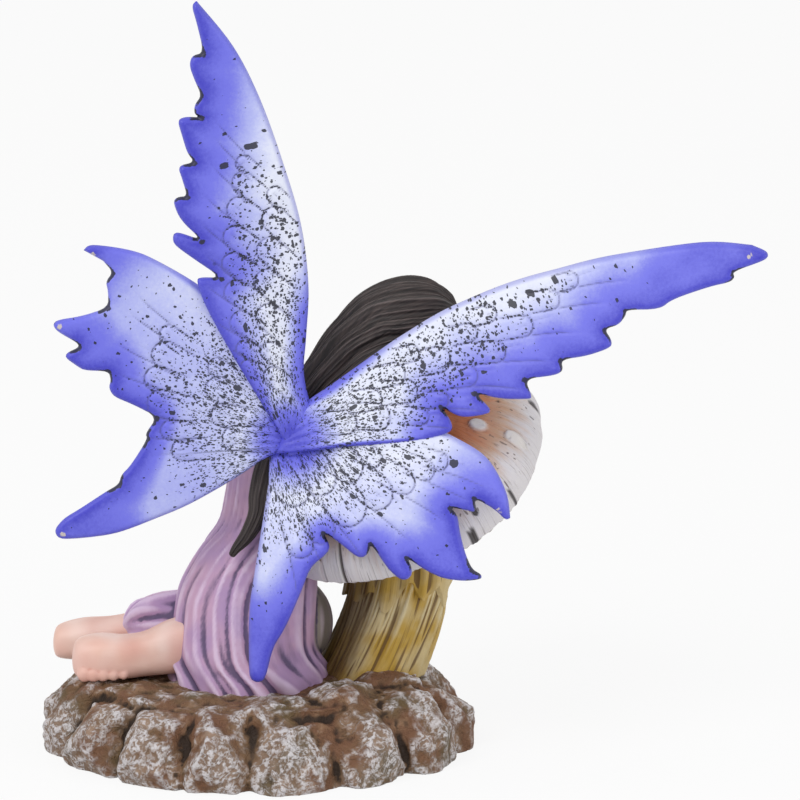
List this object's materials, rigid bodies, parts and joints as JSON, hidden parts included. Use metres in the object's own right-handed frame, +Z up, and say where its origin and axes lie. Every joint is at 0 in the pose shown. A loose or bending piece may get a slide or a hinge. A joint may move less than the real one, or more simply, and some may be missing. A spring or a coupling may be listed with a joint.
{
  "type": "fantasy figurine",
  "caption": "Painted resin figurine of a winged fairy asleep over a toadstool, kneeling on a slab of rocks.",
  "frame": {"origin": "centre of the rock base's flat underside", "axes": "+Z up, -Y out of the fairy's back towards the viewer who sees the wings spread, +X to that viewer's right"},
  "size_m": [0.1526, 0.0835, 0.1635],
  "materials": {
    "figure_paint": "cast polyresin, hand painted, satin",
    "wing_paint": "cast polyresin, blue-violet edges faded to pale lavender with black speckle, satin",
    "rock_paint": "cast polyresin, brown with white dry-brushing and dark cracks, matt",
    "cap_paint": "cast polyresin, orange-brown fading to a grey-white rim, satin",
    "stem_paint": "cast polyresin, ochre with brown streaks, satin",
    "dress_paint": "cast polyresin, lilac with grey-violet folds, satin",
    "skin_paint": "cast polyresin, pale pink skin, satin",
    "hair_paint": "cast polyresin, dark brown strands, satin"
  },
  "bodies": {
    "root": {"figure_casting": "figure_paint", "left_wings": "wing_paint", "right_wings": "wing_paint"}
  },
  "joints": []
}
